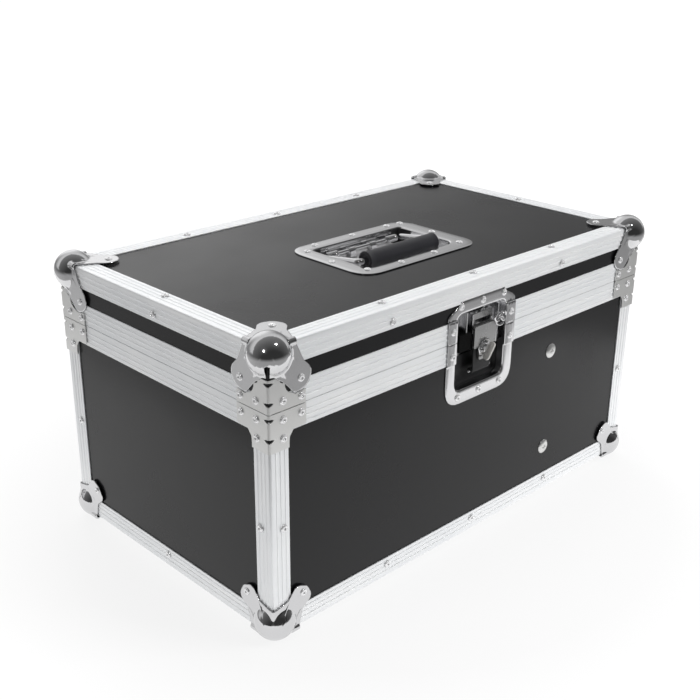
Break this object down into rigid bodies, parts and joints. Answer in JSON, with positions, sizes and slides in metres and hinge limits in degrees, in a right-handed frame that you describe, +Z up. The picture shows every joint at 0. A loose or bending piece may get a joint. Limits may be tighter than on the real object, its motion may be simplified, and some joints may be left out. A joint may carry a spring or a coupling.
{
  "type": "hard equipment case",
  "caption": "Black laminated flight case with ribbed aluminium edges, ball corners, hinged lid, recessed butterfly latch and sprung recessed top handle.",
  "frame": {"origin": "on the ground under the middle of the case: the lowest point of the base's ball corners, centred left to right and front to back", "axes": "+X along the latch side to the right as seen from in front, +Y from the latch side to the hinge side, +Z up"},
  "size_m": [0.58, 0.35, 0.308],
  "materials": {
    "black_laminate": "fine-grained black phenolic laminate on plywood, satin",
    "interior_ply": "black-stained plywood, matt",
    "aluminium_extrusion": "clear anodised, drawn grain along the length",
    "plated_steel": "bright nickel and zinc plate over stamped steel",
    "latch_steel": "plated pressed steel, lightly brushed",
    "wing_casting": "plated zinc casting, satin",
    "rivet_steel": "bright plated steel",
    "spring_steel": "bright drawn wire",
    "grip_rubber": "moulded black rubber, satin",
    "bumper_rubber": "matt black rubber",
    "foam_lining": "closed-cell charcoal foam with a faintly pebbled skin"
  },
  "bodies": {
    "case_body": {"bottom_panel": "black_laminate", "front_panel": "black_laminate", "back_panel": "black_laminate", "left_end_panel": "black_laminate", "right_end_panel": "black_laminate", "bottom_edge_front": "aluminium_extrusion", "bottom_edge_back": "aluminium_extrusion", "bottom_edge_left": "aluminium_extrusion", "bottom_edge_right": "aluminium_extrusion", "post_front_left": "aluminium_extrusion", "post_front_right": "aluminium_extrusion", "post_back_left": "aluminium_extrusion", "post_back_right": "aluminium_extrusion", "body_rim_front": "aluminium_extrusion", "body_rim_back": "aluminium_extrusion", "body_rim_left": "aluminium_extrusion", "body_rim_right": "aluminium_extrusion", "base_corner_front_left": "plated_steel", "base_corner_front_right": "plated_steel", "base_corner_back_left": "plated_steel", "base_corner_back_right": "plated_steel", "body_braces": "plated_steel", "body_rivets": "rivet_steel", "body_lining": "foam_lining", "divider_panel": "interior_ply", "divider_screws": "rivet_steel", "latch_lower_dish": "plated_steel", "latch_bumper": "bumper_rubber", "hinge_body_leaves": "plated_steel", "pivot_pins": "spring_steel"},
    "lid": {"top_panel": "black_laminate", "lid_strip_front": "black_laminate", "lid_strip_back": "black_laminate", "lid_strip_left": "black_laminate", "lid_strip_right": "black_laminate", "lid_edge_front": "aluminium_extrusion", "lid_edge_back": "aluminium_extrusion", "lid_edge_left": "aluminium_extrusion", "lid_edge_right": "aluminium_extrusion", "lid_rim_front": "aluminium_extrusion", "lid_rim_back": "aluminium_extrusion", "lid_rim_left": "aluminium_extrusion", "lid_rim_right": "aluminium_extrusion", "lid_corner_front_left": "plated_steel", "lid_corner_front_right": "plated_steel", "lid_corner_back_left": "plated_steel", "lid_corner_back_right": "plated_steel", "lid_braces": "plated_steel", "lid_rivets": "rivet_steel", "lid_lining": "foam_lining", "latch_upper_dish": "plated_steel", "latch_keeper": "plated_steel", "hinge_lid_leaves": "plated_steel", "handle_dish": "plated_steel", "handle_spring": "spring_steel"},
    "handle": {"handle_bail": "plated_steel", "handle_grip": "grip_rubber"},
    "latch_arm": {"latch_link": "latch_steel"},
    "claw": {"latch_claw": "latch_steel"},
    "wing": {"latch_wing": "wing_casting"}
  },
  "joints": [
    {"name": "lid_hinge", "type": "hinge", "parent": "case_body", "child": "lid", "pos_m": [0, 0.1693, 0.23725], "axis": [-1, 0, 0], "range_deg": [0, 110]},
    {"name": "handle_lift", "type": "hinge", "parent": "lid", "child": "handle", "pos_m": [0, 0.008, 0.289], "axis": [-1, 0, 0], "range_deg": [0, 90], "stiffness_Nm_per_rad": 0.12, "springref_deg": -22.92},
    {"name": "latch_swing", "type": "hinge", "parent": "case_body", "child": "latch_arm", "pos_m": [0.004, -0.1595, 0.197], "axis": [1, 0, 0], "range_deg": [0, 95]},
    {"name": "wing_twist", "type": "hinge", "parent": "latch_arm", "child": "wing", "pos_m": [0.004, -0.165, 0.222], "axis": [0, -1, 0], "range_deg": [0, 180]},
    {"name": "claw_lift", "type": "slide", "parent": "latch_arm", "child": "claw", "axis": [0, 0, 1], "range_m": [0, 0.006]}
  ],
  "couplings": [
    {"joint": "claw_lift", "follows": "wing_twist", "m_per_rad": 0.0019099}
  ]
}
